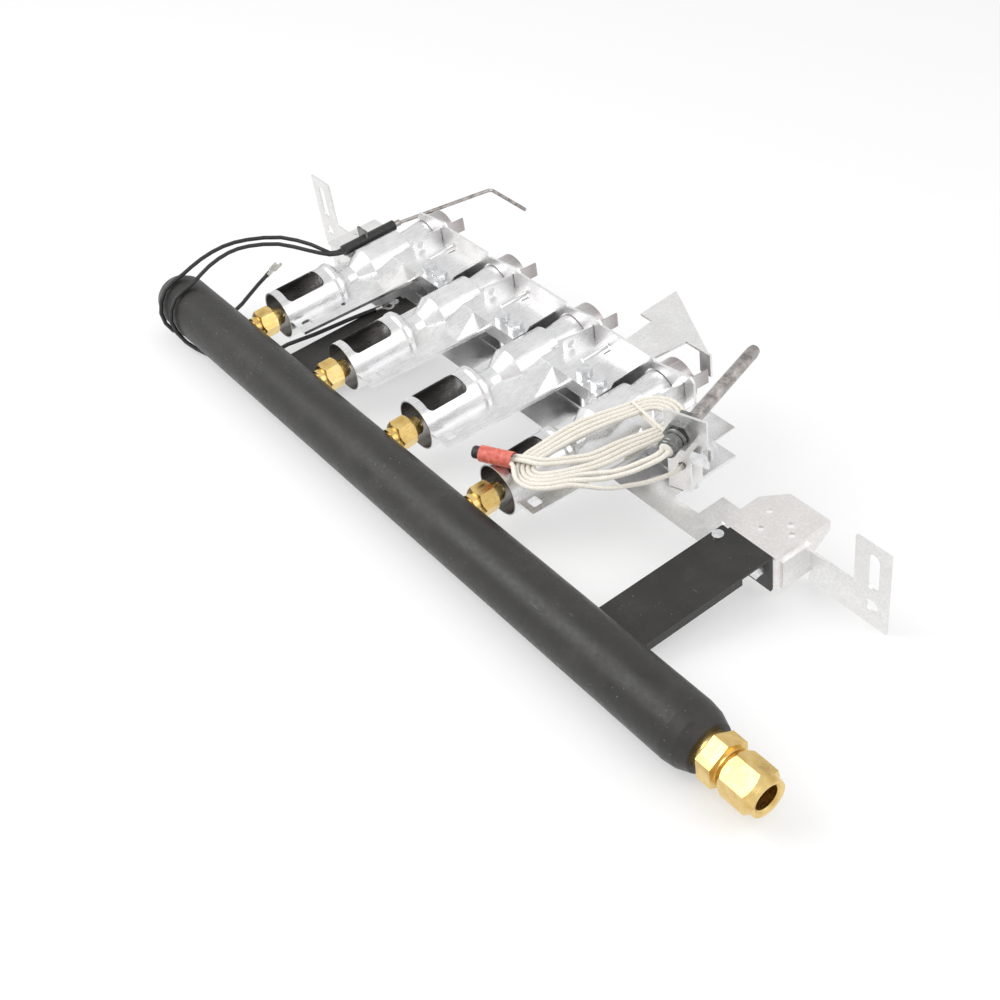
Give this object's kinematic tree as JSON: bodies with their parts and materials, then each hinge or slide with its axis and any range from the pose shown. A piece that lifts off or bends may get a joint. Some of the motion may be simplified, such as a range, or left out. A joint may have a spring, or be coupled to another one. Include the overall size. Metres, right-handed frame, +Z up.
{
  "type": "gas burner manifold",
  "caption": "Gas burner manifold: a closed pipe with brass orifices feeding a row of stamped in-shot burners, with slotted end ears, an igniter and a flame sensor",
  "frame": {"origin": "middle of the footprint's bounding box, on the plane under the ears' lower ends", "axes": "+X along the manifold pipe towards the gas inlet, +Y from the pipe to the burners' outlets, +Z up"},
  "size_m": [0.5796, 0.2287, 0.084],
  "materials": {
    "black_paint": "semi-gloss black paint",
    "zinc": "bright aluminised or galvanised sheet",
    "brass": "turned brass",
    "ceramic": "glazed ceramic",
    "dark_steel": "heat-darkened steel",
    "white_lead": "braided high-temperature sleeve",
    "red_sleeve": "red insulating sleeve",
    "black_lead": "black wire insulation",
    "black_sleeve": "black connector sleeve"
  },
  "bodies": {
    "base": {"manifold_pipe": "black_paint", "inlet_body": "brass", "inlet_ferrule": "brass", "orifice_1": "brass", "orifice_2": "brass", "orifice_3": "brass", "orifice_4": "brass", "upper_shell_1": "zinc", "upper_shell_2": "zinc", "upper_shell_3": "zinc", "upper_shell_4": "zinc", "lower_shell_1": "zinc", "lower_shell_2": "zinc", "lower_shell_3": "zinc", "lower_shell_4": "zinc", "flame_insert_1": "zinc", "flame_insert_2": "zinc", "flame_insert_3": "zinc", "flame_insert_4": "zinc", "burner_screws": "zinc", "crossbar": "zinc", "flame_shield": "zinc", "left_arm": "black_paint", "right_arm": "black_paint", "arm_rivets": "zinc", "arm_bolt": "zinc", "left_bracket": "zinc", "right_bracket": "zinc", "left_ear": "zinc", "right_ear": "zinc", "igniter_bracket": "zinc", "igniter_gland": "dark_steel", "igniter_nut": "dark_steel", "igniter_insulator": "ceramic", "igniter_rod": "dark_steel", "igniter_bolt": "zinc", "igniter_screws": "zinc", "igniter_leads": "white_lead", "igniter_hank": "white_lead", "hank_tie": "white_lead", "lead_sleeve": "red_sleeve", "sensor_bracket": "dark_steel", "sensor_body": "black_sleeve", "sensor_rod": "dark_steel", "sensor_leads": "black_lead"},
    "nut": {"inlet_nut": "brass"}
  },
  "joints": [
    {"name": "nut_turn", "type": "hinge", "parent": "base", "child": "nut", "pos_m": [0.2798, -0.09608, 0.044], "axis": [1, 0, 0], "continuous": true}
  ]
}
